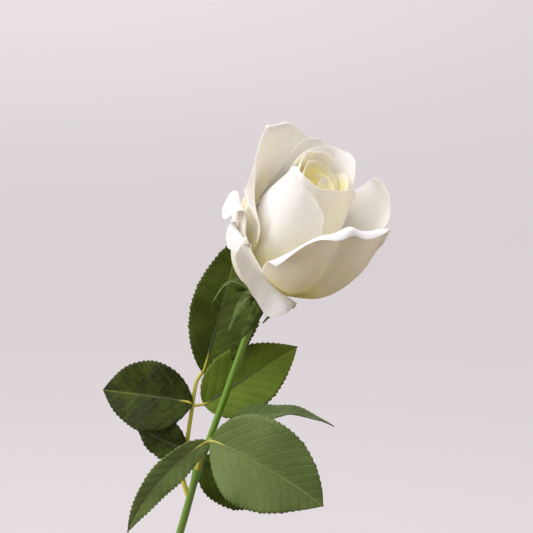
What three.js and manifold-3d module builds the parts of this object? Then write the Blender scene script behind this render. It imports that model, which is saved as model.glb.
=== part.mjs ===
// A white rose standing in water in a plain bud vase.
// Millimetres, +Z up. The vase's foot rests on z = 0 and its axis is the Z axis.
// The rose is seen along +Y: it leans to +X and its bloom nods towards -Y.

import * as THREE from 'three';
import Module from 'manifold-3d';

const wasm = await Module();
wasm.setup();

const V = (x, y, z) => new THREE.Vector3(x, y, z);
const rad = THREE.MathUtils.degToRad;

// ---------------------------------------------------------------- sizes

// vase: [radius, height] from the middle of the foot to the middle of the cavity floor
const VASE_HEIGHT = 150;
const VASE_SIDES = 34;
const VASE_OUTSIDE = [
  [0, 0], [21.4, 0], [22.6, 1.2], [23, 4], [25.8, 12], [30.2, 26], [32.6, 41], [31.9, 57],
  [28, 74], [21.6, 92], [15.9, 108], [12.8, 122], [11.7, 134], [12.3, 143], [13.4, 148.4],
];
const VASE_LIP = [[13, 149.6], [12.1, VASE_HEIGHT], [11.2, 149.5]];
const VASE_INSIDE = [
  [10.6, 148], [9.5, 142.5], [9, 134], [10, 122], [13, 108], [18.6, 92], [25, 74],
  [28.8, 57], [29.5, 41], [27.2, 26], [22.6, 12], [18, 7.2], [0, 6],
];
const WATER_LEVEL = 108;
const WATER_FLOOR_TOP = 20;
const WATER_GAP = 0.4;

// stem: middle line from its cut end up to the receptacle, and its thickness
const STEM_PATH = [
  V(-12.3, 2, 7.6), V(-7.4, 1.8, 60), V(-0.9, 1.2, 110), V(5.9, 0.6, 143), V(12.3, -0.4, 166.1),
  V(15.2, -1.1, 176.2), V(21.4, -3.6, 198.5), V(26.6, -5.8, 212), V(36.3, -11.7, 239.8), V(43.2, -16.8, 260),
];
const STEM_RADIUS_LOW = 1.8;
const STEM_RADIUS_HIGH = 1.55;
const STEM_NODE_Z = 197;
const STEM_NODE_SWELL = 0.7;
const STEM_NODE_LENGTH = 4;
const STEM_SIDES = 10;

// bloom: the receptacle's top, and the axis that the petals wind around
const BLOOM_FOOT = V(52.8, -25, 284);
const BLOOM_AXIS = V(0.398, -0.417, 0.817).normalize();
const BLOOM_RIGHT = V(0.888, -0.048, -0.457);
const STEM_TOP_BELOW_FOOT = 15.4;
const RECEPTACLE_SHAPE = [
  [0, -14.7], [1.9, -14.7], [2.7, -12.6], [4.6, -9.6], [5.7, -6.8], [5.5, -4.4], [3.6, -2.9], [0, -2.9],
];
const BLOOM_CORE = [[0, -2.5], [4.2, -2.5], [7.2, -0.2], [8.2, 4], [7.2, 9.5], [4.2, 15], [1.4, 18.5], [0, 19]];

// Each petal: azimuth of its middle, [radius, height] of its midrib from foot to rim,
// width, and the radius that it hugs the heart with at foot, middle and rim.
const PETAL_THICKNESS = 0.62;
const PETALS = {
  heart1: { turn: 300, profile: [[3, 8], [5, 25], [5, 46], [1, 58]], width: 8, hug: [6, 4, 5],
    foot: 0.6, top: 0.9, drop: 0.1, tip: -0.1, nu: 4, nv: 6 },
  heart2: { turn: 65, profile: [[4, 6], [7, 25], [7, 42], [3, 57]], width: 20, hug: [7, 6, 11],
    foot: 0.5, top: 0.85, drop: 0.05, liftRight: 0.05, tip: 0.3, nu: 6, nv: 6 },
  heart3: { turn: 135, profile: [[4, 5], [8, 24], [7, 42], [8, 60]], width: 34, hug: [9, 8, 12],
    foot: 0.45, top: 0.9, drop: 0.05, liftLeft: 0.1, liftRight: -0.05, tip: -0.05, nu: 6, nv: 6 },
  inner1: { turn: 140, profile: [[4, 4], [11, 21], [12, 40], [12, 62]], width: 30, hug: [11, 11, 10],
    foot: 0.4, top: 0.75, drop: 0.05, liftLeft: -0.05, tip: -0.1, corner: 0.03, nu: 6, nv: 6 },
  inner2: { turn: 25, profile: [[4, 4], [12, 22], [13, 42], [10, 60]], width: 30, hug: [11, 12, 13],
    foot: 0.4, top: 0.8, drop: 0.1, liftLeft: 0.05, nu: 6, nv: 6 },
  inner3: { turn: 270, profile: [[4, 3], [13, 15], [15, 34], [14, 59]], width: 40, hug: [12, 14, 17],
    foot: 0.35, top: 0.8, drop: 0, rollRight: 70, rollShare: 0.25, liftLeft: -0.05, liftRight: -0.1 },
  ring: { turn: 100, profile: [[4, 3], [13, 16], [15, 36], [14, 57], [16, 65]], width: 50,
    hug: [12, 15, 14], foot: 0.35, top: 0.8, drop: 0.2, tip: -0.3, curl: [15, 30, 15], curlLength: 3,
    nu: 10 },
  front: { turn: 248, profile: [[4, 1], [16, 10], [22, 29], [22, 48], [21, 61]], width: 47,
    hug: [16, 16, 24], foot: 0.35, top: 0.7, drop: 0.05, liftLeft: 0.35, liftRight: 0.05, tip: -0.3,
    point: 0.03, curl: [0, 12, 12], curlLength: 4 },
  back1: { turn: 125, profile: [[4, 2], [16, 12], [20, 30], [19, 48], [21, 63]], width: 35,
    hug: [16, 20, 24], foot: 0.35, top: 0.55, drop: 0.1, liftLeft: -0.05, liftRight: 0.05 },
  back2: { turn: 80, profile: [[4, 2], [16, 12], [18, 28], [18, 42], [18, 53]], width: 38,
    hug: [16, 19, 20], foot: 0.35, top: 0.75, drop: 0.15, nu: 6, nv: 6 },
  tall: { turn: 155, profile: [[4, 1], [18, 10], [24, 32], [26, 48], [30, 62], [31, 62]], width: 72,
    hug: [20, 22, 36], foot: 0.3, top: 0.8, drop: 0.25, rollRight: 50, rollShare: 0.3, rollFrom: 0.25,
    liftRight: 0.05, tip: 0.05, corner: 0, nu: 10 },
  right: { turn: 30, profile: [[4, 1], [19, 8], [27, 24], [29, 40], [31, 53], [29, 59]], width: 56,
    hug: [20, 28, 36], foot: 0.3, top: 0.7, drop: 0.2, liftLeft: -0.1, liftRight: 0.15, tip: 0.5 },
  bowl: { turn: 304, profile: [[4, 0], [17, 7], [29, 18], [34, 36], [33, 61]], width: 49,
    hug: [20, 30, 34], foot: 0.4, top: 0.85, drop: 0.3, liftRight: -0.25, tip: -0.1,
    curl: [40, 145, 15], curlLength: 10, crease: 3, creaseWidth: 4, point: 0.03, corner: 0.1, nu: 10,
    nv: 10 },
  low: { turn: 266, profile: [[4, 0], [16, 5], [23, 14], [27, 19], [29, 18], [31, 9]], width: 32,
    hug: [20, 28, 36], foot: 0.35, top: 1, drop: 0.15, tilt: -0.5, liftRight: 0.15, tip: 0.4,
    corner: 0 },
  left: { turn: 213, profile: [[4, 0], [17, 5], [25, 18], [28, 29], [30, 38], [33, 38], [35, 30]],
    width: 22, hug: [20, 28, 30], foot: 0.4, top: 0.65, drop: 0.2, tilt: -0.1 },
  fold: { turn: 230, profile: [[4, 0], [17, 4], [24, 13], [27, 23], [29, 28], [32, 29], [33, 22]],
    width: 15, hug: [20, 24, 26], foot: 0.4, top: 0.85, drop: 0.1, tilt: -0.1, nu: 4, nv: 6 },
  rear1: { turn: 100, profile: [[4, 0], [18, 6], [26, 24], [28, 38], [32, 46]], width: 54,
    hug: [20, 30, 40], foot: 0.3, top: 0.7, drop: 0.2, curl: [30, 50, 30], nu: 6, nv: 6 },
  rear2: { turn: 48, profile: [[4, 0], [18, 6], [26, 22], [29, 35], [33, 43]], width: 50,
    hug: [20, 30, 40], foot: 0.3, top: 0.7, drop: 0.2, curl: [30, 50, 30], nu: 6, nv: 6 },
};
const PETAL_DEFAULTS = {
  widest: 0.62, point: 0, tilt: 0, tip: 0, crease: 0, creaseWidth: 4, curl: [0, 0, 0], curlLength: 5,
  rollLeft: 0, rollRight: 0, rollShare: 0.3, rollFrom: 0.35, liftLeft: 0, liftRight: 0, corner: 0.06,
  nu: 8, nv: 8,
};

// leaflets: foot and tip of the midrib, width, and how far it arches up and sweeps sideways
const BLADE_THICKNESS = 0.65;
const LEAFLET_TEETH = 10;
const LEAFLET_DEFAULTS = {
  roll: 0, arch: 2, sweep: 0, widest: 0.38, left: 1, right: 1, phase: 0, fold: 0.25, wave: 0.8, tooth: 0.05,
};
const BACK_STALK = [
  V(16.6, 1.7, 181), V(13.4, 3.6, 192.2), V(14.9, 6, 203.5), V(16.2, 6, 212.4), V(17.8, 6.5, 222.6),
  V(18.7, 7.5, 229.5), V(20, 9, 235.3), V(22.3, 10, 238.8),
];
const BACK_LEAFLETS = {
  end: { base: V(22.8, 10, 238.8), tip: V(39.8, 22, 302), width: 32, arch: 3, sweep: 0.5, left: 0.88,
    right: 1.15, widest: 0.46 },
  upperLeft: { base: V(18.3, 6, 225.6), tip: V(-25, 22, 228.4), width: 33, roll: -10, arch: 3, sweep: 0.5,
    widest: 0.42, phase: 1, stalk: V(18, 6.6, 224) },
  upperRight: { base: V(23.3, 8, 224.2), tip: V(66.5, 18, 249.8), width: 31, roll: 10, arch: 3, phase: 2,
    stalk: V(18, 6.6, 224) },
  lowerLeft: { base: V(14.6, 6, 203.5), tip: V(-8.5, 14, 212.6), width: 16.5, roll: 10, arch: 1, right: 1.5,
    phase: 3, stalk: V(14.9, 6, 203) },
  lowerRight: { base: V(20.8, 8, 197.3), tip: V(61, 16, 177), width: 27, phase: 4,
    stalk: V(14.6, 5.8, 201) },
};
const FRONT_STALK = [V(21, -7, 198), V(22.6, -9.2, 204), V(24.6, -11.4, 209), V(26.6, -13.4, 212.6)];
const FRONT_LEAFLETS = {
  end: { base: V(27.4, -14, 213.1), tip: V(77, -26, 186.5), width: 41, arch: 4, sweep: -3, left: 1.05,
    widest: 0.42, phase: 1, stalk: V(26.2, -13.2, 212.2) },
  left: { base: V(25.6, -13, 212.4), tip: V(-10, -16, 171.5), width: 14, roll: 10, sweep: 5, phase: 2,
    stalk: V(26.2, -13.2, 212.2) },
  right: { base: V(32.3, -12, 216.7), tip: V(83, 2, 215.5), width: 18, roll: 84, arch: 7, phase: 3,
    stalk: V(26.2, -13.2, 212.2) },
};
const STALK_RADIUS = 0.95;
const RIB_RADIUS = 0.6;

// sepals: middle line from the receptacle to the tip, and the widest width
const SEPALS = [
  { path: [V(50, -24.4, 277.2), V(42, -23.3, 283.6), V(34.6, -22, 284.4), V(28.1, -22, 274.9)], width: 9 },
  { path: [V(50, -25, 277.2), V(45.1, -28.8, 279.2), V(40.7, -27.5, 275), V(35.9, -24.5, 264.2)], width: 8 },
  { path: [V(50.8, -25.5, 277.6), V(48.6, -29.6, 274.6), V(46, -28, 268.4), V(41, -24.5, 260.5)], width: 7.5 },
  { path: [V(52.6, -22, 278.6), V(57.2, -18, 276), V(55.6, -15, 271.6), V(50.5, -13, 265.6)], width: 4.5 },
  { path: [V(50.6, -20, 279), V(49.4, -12.4, 277), V(46.2, -9.4, 270.2), V(43.6, -8.6, 262.6)], width: 5.5 },
];

const COLOURS = {
  vase: 0xd9d4cf, water: 0xcfe0e2, stem: 0x5c8438, calyx: 0x83a25a, bloom: 0xf3ecd8,
  leaf_back: 0x3f5620, leaf_front: 0x5f7c4a,
};

// ---------------------------------------------------------------- curves

const smoothstep = (x, low, high) => THREE.MathUtils.smoothstep(x, low, high);

// uniform Catmull-Rom curve through lists of numbers
function spline(points, t) {
  const last = points.length - 1;
  const x = THREE.MathUtils.clamp(t, 0, 1) * last;
  const i = Math.min(Math.floor(x), last - 1);
  const f = x - i;
  const at = (k, c) => {
    if (k < 0) return 2 * points[0][c] - points[1][c];
    if (k > last) return 2 * points[last][c] - points[last - 1][c];
    return points[k][c];
  };
  return points[0].map((_, c) => {
    const [p, q, r, s] = [at(i - 1, c), at(i, c), at(i + 1, c), at(i + 2, c)];
    return 0.5 * (2 * q + (r - p) * f + (2 * p - 5 * q + 4 * r - s) * f * f + (3 * q - p - 3 * r + s) * f ** 3);
  });
}

// curve measured along its length: at(share) gives a point and the unit direction there
function measured(points) {
  const STEPS = 160;
  const path = Array.from({ length: STEPS + 1 }, (_, i) => spline(points, i / STEPS));
  const reach = [0];
  for (let i = 1; i <= STEPS; i++) {
    reach.push(reach[i - 1] + Math.hypot(...path[i].map((c, k) => c - path[i - 1][k])));
  }
  const length = reach[STEPS];
  const at = (share) => {
    const s = THREE.MathUtils.clamp(share, 0, 1) * length;
    let i = 1;
    while (i < STEPS && reach[i] < s) i++;
    const f = (s - reach[i - 1]) / (reach[i] - reach[i - 1]);
    const point = path[i].map((c, k) => path[i - 1][k] + f * (c - path[i - 1][k]));
    const way = path[i].map((c, k) => c - path[i - 1][k]);
    const size = Math.hypot(...way);
    return { point, way: way.map((c) => c / size) };
  };
  return { length, at };
}

// ---------------------------------------------------------------- solids

const signedVolume = (points, faces) => faces.reduce(
  (sum, [a, b, c]) => sum + points[a].dot(points[b].clone().cross(points[c])), 0) / 6;

function solidFrom(points, faces) {
  const inward = signedVolume(points, faces) < 0;
  const turned = inward ? faces.map(([a, b, c]) => [a, c, b]) : faces;
  return new wasm.Manifold(new wasm.Mesh({
    numProp: 3,
    vertProperties: new Float32Array(points.flatMap((p) => p.toArray())),
    triVerts: new Uint32Array(turned.flat()),
  }));
}

// one body from many, with the pockets that crossing sheets shut off filled in
function fuse(solids) {
  const whole = solids.reduce((sum, solid) => sum.add(solid));
  return whole.decompose().filter((shell) => shell.volume() > 0).reduce((sum, shell) => sum.add(shell));
}

function asMesh(name, solid) {
  const { vertProperties, triVerts } = solid.getMesh();
  const geometry = new THREE.BufferGeometry();
  geometry.setAttribute('position', new THREE.BufferAttribute(new Float32Array(vertProperties), 3));
  geometry.setIndex(new THREE.BufferAttribute(new Uint32Array(triVerts), 1));
  geometry.computeVertexNormals();
  const mesh = new THREE.Mesh(geometry, new THREE.MeshStandardMaterial({ color: COLOURS[name], roughness: 0.6 }));
  mesh.name = name;
  return mesh;
}

// two faces of a sheet, a half thickness to each side of the grid, closed around the edge
function sheet(grid, thickness) {
  const rows = grid.length;
  const columns = grid[0].length;
  const normal = (j, i) => {
    const along = grid[Math.min(j + 1, rows - 1)][i].clone().sub(grid[Math.max(j - 1, 0)][i]);
    const across = grid[j][Math.min(i + 1, columns - 1)].clone().sub(grid[j][Math.max(i - 1, 0)]);
    return across.cross(along).normalize().multiplyScalar(thickness / 2);
  };
  const upper = [];
  const lower = [];
  grid.forEach((row, j) => row.forEach((point, i) => {
    const step = normal(j, i);
    upper.push(point.clone().add(step));
    lower.push(point.clone().sub(step));
  }));
  const count = rows * columns;
  const at = (j, i) => j * columns + i;
  const faces = [];
  for (let j = 0; j < rows - 1; j++) {
    for (let i = 0; i < columns - 1; i++) {
      const [a, b, c, d] = [at(j, i), at(j, i + 1), at(j + 1, i + 1), at(j + 1, i)];
      faces.push([a, b, c], [a, c, d], [a + count, c + count, b + count], [a + count, d + count, c + count]);
    }
  }
  const edge = [];
  for (let i = 0; i < columns - 1; i++) edge.push(at(0, i));
  for (let j = 0; j < rows - 1; j++) edge.push(at(j, columns - 1));
  for (let i = columns - 1; i > 0; i--) edge.push(at(rows - 1, i));
  for (let j = rows - 1; j > 0; j--) edge.push(at(j, 0));
  edge.forEach((a, k) => {
    const b = edge[(k + 1) % edge.length];
    faces.push([b, a, a + count], [b, a + count, b + count]);
  });
  return solidFrom([...upper, ...lower], faces);
}

// solid of revolution from [radius, height] pairs that start and end on the axis
function turned(profile, sides) {
  const inner = profile.slice(1, -1);
  const points = [V(0, 0, profile[0][1]), V(0, 0, profile[profile.length - 1][1])];
  for (const [r, z] of inner) {
    for (let k = 0; k < sides; k++) {
      const angle = (2 * Math.PI * k) / sides;
      points.push(V(r * Math.cos(angle), r * Math.sin(angle), z));
    }
  }
  const at = (ring, k) => 2 + ring * sides + (k % sides);
  const faces = [];
  for (let k = 0; k < sides; k++) {
    faces.push([0, at(0, k + 1), at(0, k)], [1, at(inner.length - 1, k), at(inner.length - 1, k + 1)]);
    for (let ring = 0; ring < inner.length - 1; ring++) {
      const [a, b, c, d] = [at(ring, k), at(ring, k + 1), at(ring + 1, k + 1), at(ring + 1, k)];
      faces.push([a, b, c], [a, c, d]);
    }
  }
  return solidFrom(points, faces);
}

// round rod along points, with a radius at each share of its length
function rod(path, radiusAt, sides, rings) {
  const curve = measured(path.map((p) => p.toArray()));
  const points = [];
  let side = V(1, 0, 0);
  for (let ring = 0; ring <= rings; ring++) {
    const { point, way } = curve.at(ring / rings);
    const along = V(...way);
    side = side.addScaledVector(along, -side.dot(along)).normalize();
    const other = along.clone().cross(side);
    const radius = radiusAt(ring / rings, point);
    for (let k = 0; k < sides; k++) {
      const angle = (2 * Math.PI * k) / sides;
      points.push(V(...point).addScaledVector(side, radius * Math.cos(angle))
        .addScaledVector(other, radius * Math.sin(angle)));
    }
  }
  const start = points.push(path[0].clone()) - 1;
  const end = points.push(path[path.length - 1].clone()) - 1;
  const at = (ring, k) => ring * sides + (k % sides);
  const faces = [];
  for (let k = 0; k < sides; k++) {
    faces.push([start, at(0, k + 1), at(0, k)], [end, at(rings, k), at(rings, k + 1)]);
    for (let ring = 0; ring < rings; ring++) {
      const [a, b, c, d] = [at(ring, k), at(ring, k + 1), at(ring + 1, k + 1), at(ring + 1, k)];
      faces.push([a, b, c], [a, c, d]);
    }
  }
  return solidFrom(points, faces);
}

// ---------------------------------------------------------------- petals

const bloomBack = BLOOM_AXIS.clone().cross(BLOOM_RIGHT);
const bloomFrame = new THREE.Matrix4().makeBasis(BLOOM_RIGHT, bloomBack, BLOOM_AXIS).setPosition(BLOOM_FOOT);

// half of a petal's cross section: from the midrib to one margin, bending with the hug,
// with the margin rolled back outwards
function halfSection(halfWidth, bend, roll, share) {
  const STEPS = 40;
  const section = [{ x: 0, y: 0, angle: 0 }];
  const bendAt = (t) => bend - (roll * Math.max(t - (1 - share), 0) * 2) / (share * share * halfWidth);
  for (let k = 1; k <= STEPS; k++) {
    const last = section[k - 1];
    const step = halfWidth / STEPS;
    const angle = last.angle + (step * (bendAt(k / STEPS) + bendAt((k - 1) / STEPS))) / 2;
    const middle = (angle + last.angle) / 2;
    section.push({ x: last.x + step * Math.cos(middle), y: last.y + step * Math.sin(middle), angle });
  }
  return (t) => {
    const x = Math.min(t, 0.99999) * STEPS;
    const [a, b] = [section[Math.floor(x)], section[Math.floor(x) + 1]];
    const f = x - Math.floor(x);
    return { x: a.x + f * (b.x - a.x), y: a.y + f * (b.y - a.y), angle: a.angle + f * (b.angle - a.angle) };
  };
}

// grid of points on a petal's middle surface
function petalGrid(shape) {
  const p = { ...PETAL_DEFAULTS, ...shape };
  const midrib = measured(p.profile);
  const reached = (u, v) => {
    const side = u < p.tip ? (p.tip - u) / (1 + p.tip) : (u - p.tip) / (1 - p.tip);
    const lift = u < p.tip ? p.liftLeft : p.liftRight;
    const cut = p.drop * side ** 2.2 + lift * side ** 1.3 - p.point * Math.exp(-(((u - p.tip) / 0.16) ** 2));
    return v - (cut + p.corner * u ** 8) * v ** 3;
  };
  const grid = [];
  for (let j = 0; j <= p.nv; j++) {
    const v = 1 - (1 - j / p.nv) ** 1.4;
    const rise = p.foot + (1 - p.foot) * Math.sin((Math.min(v / p.widest, 1) * Math.PI) / 2);
    const fall = 1 - (1 - p.top) * smoothstep(v, p.widest, 1);
    const halfWidth = (p.width / 2) * (v < p.widest ? rise : fall);
    const bend = spline(p.hug.map((radius) => [1 / radius]), v)[0];
    const rolled = smoothstep(v, p.rollFrom, p.rollFrom + 0.3);
    const toLeft = halfSection(halfWidth, bend, rad(p.rollLeft) * rolled, p.rollShare);
    const toRight = halfSection(halfWidth, bend, rad(p.rollRight) * rolled, p.rollShare);
    const row = [];
    for (let i = 0; i <= p.nu; i++) {
      const u = -1 + (2 * i) / p.nu;
      const hand = u < 0 ? -1 : 1;
      const section = (u < 0 ? toLeft : toRight)(Math.abs(u));
      let x = hand * section.x;
      let y = section.y;
      const angle = hand * section.angle;

      // the last few millimetres below the rim curl outwards
      const curl = rad(spline(p.curl.map((c) => [c]), (u + 1) / 2)[0]);
      const rim = reached(u, 1);
      const start = Math.max(rim - p.curlLength / midrib.length, 0.3);
      let s = reached(u, v);
      let onward = 0;
      if (Math.abs(curl) > 0.001 && s > start) {
        const past = (s - start) * midrib.length;
        const rate = curl / ((rim - start) * midrib.length);
        onward = Math.sin(rate * past) / rate;
        const outward = (1 - Math.cos(rate * past)) / rate;
        x += outward * Math.sin(angle);
        y -= outward * Math.cos(angle);
        s = start;
      }
      y += p.crease * Math.exp(-((x / p.creaseWidth) ** 2)) * smoothstep(v, 0.05, 0.3);
      onward += Math.max(s - 1, 0) * midrib.length;

      const { point: [radius, height], way: [out, up] } = midrib.at(s);
      const azimuth = rad(p.turn);
      const outwards = V(Math.cos(azimuth), Math.sin(azimuth), 0);
      const sideways = V(-Math.sin(azimuth), Math.cos(azimuth), 0);
      const r = radius + onward * out - y * up;
      const z = height + onward * up + y * out + p.tilt * x * smoothstep(v, 0.2, 0.6);
      row.push(V(0, 0, z).addScaledVector(outwards, r).addScaledVector(sideways, x));
    }
    grid.push(row);
  }
  return grid;
}

// ---------------------------------------------------------------- leaves

// grid of a toothed leaflet, folded along its midrib, with waved margins
function leafletGrid(shape) {
  const p = { ...LEAFLET_DEFAULTS, ...shape };
  const chord = p.tip.clone().sub(p.base);
  const along = chord.clone().normalize();
  const facing = V(0, -1, 0).addScaledVector(along, along.y).normalize();
  const across = along.clone().cross(facing);
  const side = across.clone().multiplyScalar(Math.cos(rad(p.roll)))
    .addScaledVector(facing, Math.sin(rad(p.roll)));
  const upper = facing.clone().multiplyScalar(Math.cos(rad(p.roll)))
    .addScaledVector(across, -Math.sin(rad(p.roll)));
  const midrib = (t) => p.base.clone().addScaledVector(chord, t)
    .addScaledVector(upper, p.arch * 4 * t * (1 - t)).addScaledVector(side, p.sweep * 4 * t * (1 - t));
  const tipPower = 0.98;
  const footPower = (tipPower * p.widest) / (1 - p.widest);
  const outline = (t) => (Math.max(t, 1e-4) / p.widest) ** footPower
    * (Math.max(1 - t, 1e-4) / (1 - p.widest)) ** tipPower;
  const ROWS = 2 * LEAFLET_TEETH;
  const grid = [];
  for (let j = 0; j <= ROWS; j++) {
    const t = j / ROWS;
    const way = midrib(Math.min(t + 0.02, 1)).sub(midrib(Math.max(t - 0.02, 0))).normalize();
    const sideHere = side.clone().addScaledVector(way, -side.dot(way)).normalize();
    const upperHere = sideHere.clone().cross(way);
    if (upperHere.dot(upper) < 0) upperHere.negate();
    const inner = j > 0 && j < ROWS;
    const saw = inner ? p.tooth * (j % 2 === 0 ? 1 : -1) : 0;
    grid.push([-1, 0, 1].map((w) => {
      const reach = (p.width / 2) * outline(t) * (w < 0 ? p.left : p.right);
      const x = w * Math.max(reach * (1 + saw), 0.4);
      const ripple = p.wave * Math.abs(w) * outline(t) * Math.sin(5 * Math.PI * t + p.phase + (w > 0 ? 2 : 0));
      return midrib(t).addScaledVector(sideHere, x).addScaledVector(upperHere, p.fold * Math.abs(x) + ripple);
    }));
  }
  return { grid, midrib };
}

// a leaflet with the rib under it, rooted in the leaf's stalk
function leaflet(shape) {
  const { grid, midrib } = leafletGrid(shape);
  const rib = [0, 0.15, 0.35, 0.6].map(midrib);
  if (shape.stalk) rib.unshift(shape.stalk);
  return sheet(grid, BLADE_THICKNESS).add(rod(rib, (t) => RIB_RADIUS * (1.2 - 0.6 * t), 6, 4));
}

function leaf(stalk, leaflets) {
  return fuse([rod(stalk, (t) => STALK_RADIUS * (1.25 - 0.4 * t), 8, 10), ...Object.values(leaflets).map(leaflet)]);
}

// a narrow sepal, arched across, broadest a third of the way down
function sepal({ path, width }) {
  const curve = measured(path.map((p) => p.toArray()));
  const ROWS = 8;
  const middle = V(...curve.at(0.5).point).sub(BLOOM_FOOT);
  const facing = middle.addScaledVector(BLOOM_AXIS, -middle.dot(BLOOM_AXIS)).normalize();
  const grid = [];
  for (let j = 0; j <= ROWS; j++) {
    const t = j / ROWS;
    const { point, way } = curve.at(t);
    const along = V(...way);
    const side = along.clone().cross(facing).normalize();
    const outer = side.clone().cross(along);
    const half = Math.max((width / 2) * Math.min(1, 0.75 + t) * (1 - t) ** 0.7, 0.4);
    grid.push([-1, 0, 1].map((w) => V(...point)
      .addScaledVector(side, w * half).addScaledVector(outer, -0.3 * w * w * half)));
  }
  return sheet(grid, BLADE_THICKNESS);
}

// ---------------------------------------------------------------- the part

const stemPath = [...STEM_PATH, BLOOM_FOOT.clone().addScaledVector(BLOOM_AXIS, -STEM_TOP_BELOW_FOOT)];
const stemRadius = (t, [, , z]) => THREE.MathUtils.lerp(STEM_RADIUS_LOW, STEM_RADIUS_HIGH, smoothstep(z, 150, 230))
  + STEM_NODE_SWELL * Math.exp(-(((z - STEM_NODE_Z) / STEM_NODE_LENGTH) ** 2));

const vase = turned([...VASE_OUTSIDE, ...VASE_LIP, ...VASE_INSIDE], VASE_SIDES);

// the water fills the cavity up to its level, a hair inside the wall and around the stem
const wetWall = VASE_INSIDE.filter(([, z]) => z <= WATER_LEVEL)
  .map(([r, z]) => [Math.max(r - WATER_GAP, 0), z < WATER_FLOOR_TOP ? z + WATER_GAP : z]);
const stemHole = rod([V(-12.7, 2, 2), ...STEM_PATH.slice(0, 4)], () => STEM_RADIUS_LOW + WATER_GAP, STEM_SIDES, 12);
const water = turned([[0, WATER_LEVEL], ...wetWall], VASE_SIDES).subtract(stemHole);

const stem = rod(stemPath, stemRadius, STEM_SIDES, 30);

const inBloom = (solid) => solid.transform(bloomFrame.elements);
const calyx = fuse([inBloom(turned(RECEPTACLE_SHAPE, 14)), ...SEPALS.map(sepal)]);
const petals = Object.values(PETALS).map((shape) => sheet(petalGrid(shape), PETAL_THICKNESS));
const bloom = inBloom(fuse([turned(BLOOM_CORE, 14), ...petals]));

const rose = new THREE.Group();
rose.name = 'rose_in_bud_vase';
rose.add(
  asMesh('vase', vase),
  asMesh('water', water),
  asMesh('stem', stem),
  asMesh('calyx', calyx),
  asMesh('bloom', bloom),
  asMesh('leaf_back', leaf(BACK_STALK, BACK_LEAFLETS)),
  asMesh('leaf_front', leaf(FRONT_STALK, FRONT_LEAFLETS)),
);

export default rose;
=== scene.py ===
"""The looks of a white rose standing in water in a plain bud vase.

The petals, leaflets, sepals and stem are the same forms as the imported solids, built finer.
Lengths in the tables are millimetres, in the part's frame: +Z up, the vase's foot on z = 0.
"""
import math

import bpy
import numpy as np
from mathutils import Matrix, Vector


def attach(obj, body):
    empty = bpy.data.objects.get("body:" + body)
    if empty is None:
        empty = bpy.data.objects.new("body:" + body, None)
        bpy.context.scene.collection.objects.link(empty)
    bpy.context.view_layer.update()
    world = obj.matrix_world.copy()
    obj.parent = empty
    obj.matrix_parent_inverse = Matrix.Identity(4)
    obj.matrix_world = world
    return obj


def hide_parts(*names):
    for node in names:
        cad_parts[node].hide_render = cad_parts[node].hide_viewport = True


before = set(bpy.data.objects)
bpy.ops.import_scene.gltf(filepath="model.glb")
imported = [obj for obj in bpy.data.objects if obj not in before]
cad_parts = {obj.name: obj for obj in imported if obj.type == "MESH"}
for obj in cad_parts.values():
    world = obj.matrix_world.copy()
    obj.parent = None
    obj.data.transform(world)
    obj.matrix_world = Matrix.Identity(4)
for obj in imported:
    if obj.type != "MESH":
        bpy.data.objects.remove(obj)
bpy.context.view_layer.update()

MM = 0.001

# ---------------------------------------------------------------- sizes

# [radius, height] from the middle of the foot, up the outside, over the lip and down the inside
VASE_HEIGHT = 150
VASE_OUTSIDE = [
    (0, 0), (20.6, 0), (21.9, 0.35), (22.7, 1.4), (23.1, 4), (25.8, 12), (30.2, 26), (32.5, 41), (31.9, 57),
    (28, 74), (21.6, 92), (15.9, 108), (12.8, 122), (11.75, 134), (12.3, 143), (13.3, 148.2),
]
VASE_LIP = [(13.25, 149.3), (12.7, 149.85), (12.1, VASE_HEIGHT), (11.4, 149.8), (10.9, 149.2)]
VASE_INSIDE = [
    (10.5, 148), (9.5, 142.5), (9, 134), (10, 122), (13, 108), (18.6, 92), (25, 74),
    (28.8, 57), (29.5, 41), (27.2, 26), (22.6, 12), (18, 7.2), (0, 6),
]
FOOT_RING_HEIGHT = 1.6
WATER_LEVEL = 108
WATER_GAP = 0.4

STEM_PATH = [
    (-12.3, 2, 7.6), (-7.4, 1.8, 60), (-0.9, 1.2, 110), (5.9, 0.6, 143), (12.3, -0.4, 166.1),
    (15.2, -1.1, 176.2), (21.4, -3.6, 198.5), (26.6, -5.8, 212), (36.3, -11.7, 239.8), (43.2, -16.8, 260),
]
STEM_RADIUS_LOW = 1.8
STEM_RADIUS_HIGH = 1.55
STEM_NODE_Z = 197
STEM_NODE_SWELL = 0.7
STEM_NODE_LENGTH = 4

BLOOM_FOOT = np.array([52.8, -25.0, 284.0])
BLOOM_AXIS = np.array([0.398, -0.417, 0.817])
BLOOM_RIGHT = np.array([0.888, -0.048, -0.457])
STEM_TOP_BELOW_FOOT = 15.4
RECEPTACLE = [
    (0, -14.7), (1.9, -14.7), (2.7, -12.6), (4.6, -9.6), (5.7, -6.8), (5.5, -4.4), (3.6, -2.9), (0, -2.9),
]
BLOOM_CORE = [(0, -2.5), (4.2, -2.5), (7.2, -0.2), (8.2, 4), (7.2, 9.5), (4.2, 15), (1.4, 18.5), (0, 19)]

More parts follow.
